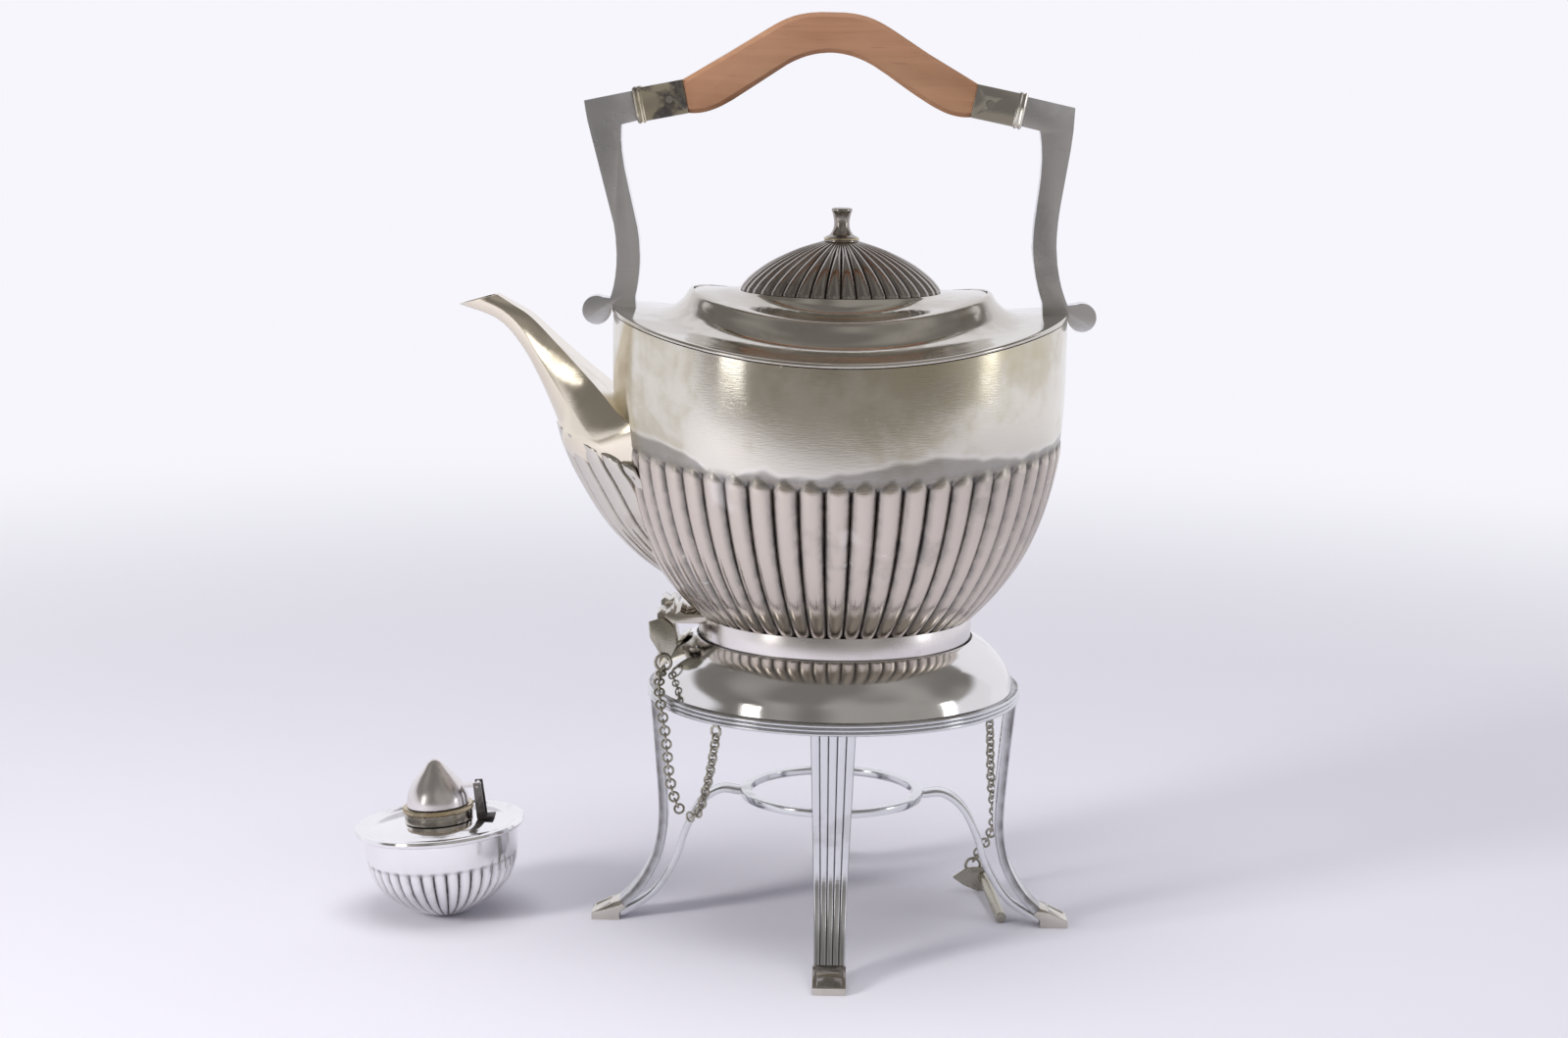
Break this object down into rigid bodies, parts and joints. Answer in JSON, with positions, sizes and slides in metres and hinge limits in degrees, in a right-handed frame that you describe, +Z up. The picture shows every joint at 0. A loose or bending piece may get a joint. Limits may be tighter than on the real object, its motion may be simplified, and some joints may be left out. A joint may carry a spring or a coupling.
{
  "type": "spirit kettle on stand",
  "caption": "Half-fluted silver-plated spirit kettle with a wooden grip, tilting on a four-legged stand, with chained hinge pins and a spirit burner beside it.",
  "frame": {"origin": "on the table, at the middle of the four feet, on the stand's upright axis", "axes": "+Z up along the stand's and kettle's axis, -X towards the spout, -Y towards the viewer of the picture, away from the lid's hinge"},
  "size_m": [0.26, 0.171, 0.3229],
  "materials": {
    "silver_plate": "polished silver plate",
    "tarnished_plate": "silver plate with warm tarnish",
    "worn_plate": "worn plate over brass",
    "bare_brass": "dull brass",
    "pale_wood": "pale polished hardwood",
    "cotton_wick": "cotton"
  },
  "bodies": {
    "stand": {"stand_dome": "silver_plate", "stand_rim": "silver_plate", "burner_ring": "silver_plate", "leg_front": "silver_plate", "leg_right": "silver_plate", "leg_back": "silver_plate", "leg_left": "silver_plate", "foot_front": "silver_plate", "foot_right": "silver_plate", "foot_back": "silver_plate", "foot_left": "silver_plate", "brace_front": "silver_plate", "brace_right": "silver_plate", "brace_back": "silver_plate", "brace_left": "silver_plate", "stand_lug_left": "silver_plate", "stand_lug_back": "silver_plate", "eyelet_left": "worn_plate", "eyelet_right": "worn_plate"},
    "kettle": {"kettle_body": "tarnished_plate", "kettle_foot": "silver_plate", "shoulder": "silver_plate", "spout": "silver_plate", "kettle_lug_left": "silver_plate", "kettle_lug_back": "silver_plate", "handle_upright_left": "silver_plate", "handle_upright_right": "silver_plate", "handle_ferrule_left": "silver_plate", "handle_ferrule_right": "silver_plate", "handle_grip": "pale_wood", "handle_rivets": "worn_plate", "shoulder_leaf": "silver_plate", "lid_hinge_pin": "worn_plate"},
    "lid": {"lid_flange": "silver_plate", "lid_bezel": "silver_plate", "lid_dome": "tarnished_plate", "lid_finial": "tarnished_plate", "lid_leaf": "silver_plate"},
    "pin": {"hinge_pin": "worn_plate", "pin_ring": "worn_plate"},
    "chain_pin_side": {"chain_left_pin_side": "worn_plate"},
    "chain_stand_side": {"chain_left_stand_side": "worn_plate"},
    "right_chain": {"chain_right": "worn_plate"},
    "second_pin": {"loose_pin": "worn_plate", "loose_pin_ring": "worn_plate"},
    "burner": {"burner_bowl": "tarnished_plate", "burner_top": "silver_plate", "burner_collar": "silver_plate", "wick_ring": "bare_brass", "wick_tube": "bare_brass", "wick": "cotton_wick", "snuffer_bracket": "silver_plate", "snuffer_pin": "worn_plate"},
    "snuffer": {"snuffer_cone": "silver_plate"}
  },
  "joints": [
    {"name": "kettle_tilt", "type": "hinge", "parent": "stand", "child": "kettle", "pos_m": [-0.059, 0, 0.1096], "axis": [0, -1, 0], "range_deg": [0, 55]},
    {"name": "lid_hinge", "type": "hinge", "parent": "kettle", "child": "lid", "pos_m": [0, 0.0524, 0.2226], "axis": [-1, 0, 0], "range_deg": [0, 45]},
    {"name": "pin_slide", "type": "slide", "parent": "stand", "child": "pin", "axis": [0, -1, 0], "range_m": [0, 0.04]},
    {"name": "chain_pin_swing", "type": "hinge", "parent": "pin", "child": "chain_pin_side", "pos_m": [-0.0596, -0.02075, 0.09571], "axis": [1, 0, 0], "range_deg": [0, 29]},
    {"name": "chain_stand_swing", "type": "hinge", "parent": "stand", "child": "chain_stand_side", "pos_m": [-0.03987, -0.05121, 0.07949], "axis": [-1, 0, 0], "range_deg": [0, 28.5]},
    {"name": "right_chain_swing", "type": "hinge", "parent": "stand", "child": "right_chain", "pos_m": [0.05615, 0.03255, 0.07949], "axis": [1, 0, 0], "range_deg": [0, 20]},
    {"name": "second_pin_level", "type": "hinge", "parent": "right_chain", "child": "second_pin", "pos_m": [0.05403, 0.03975, 0.01223], "axis": [1, 0, 0], "range_deg": [-20, 0]},
    {"name": "burner_lift", "type": "slide", "parent": "stand", "child": "burner", "axis": [0, 0, 1], "range_m": [0, 0.03]},
    {"name": "snuffer_hinge", "type": "hinge", "parent": "burner", "child": "snuffer", "pos_m": [-0.12692, 0, 0.04773], "axis": [0, 1, 0], "range_deg": [0, 110]}
  ],
  "couplings": [
    {"joint": "chain_pin_swing", "follows": "pin_slide", "rad_per_m": 12.3},
    {"joint": "chain_stand_swing", "follows": "pin_slide", "rad_per_m": 12},
    {"joint": "second_pin_level", "follows": "right_chain_swing", "ratio": -1}
  ]
}
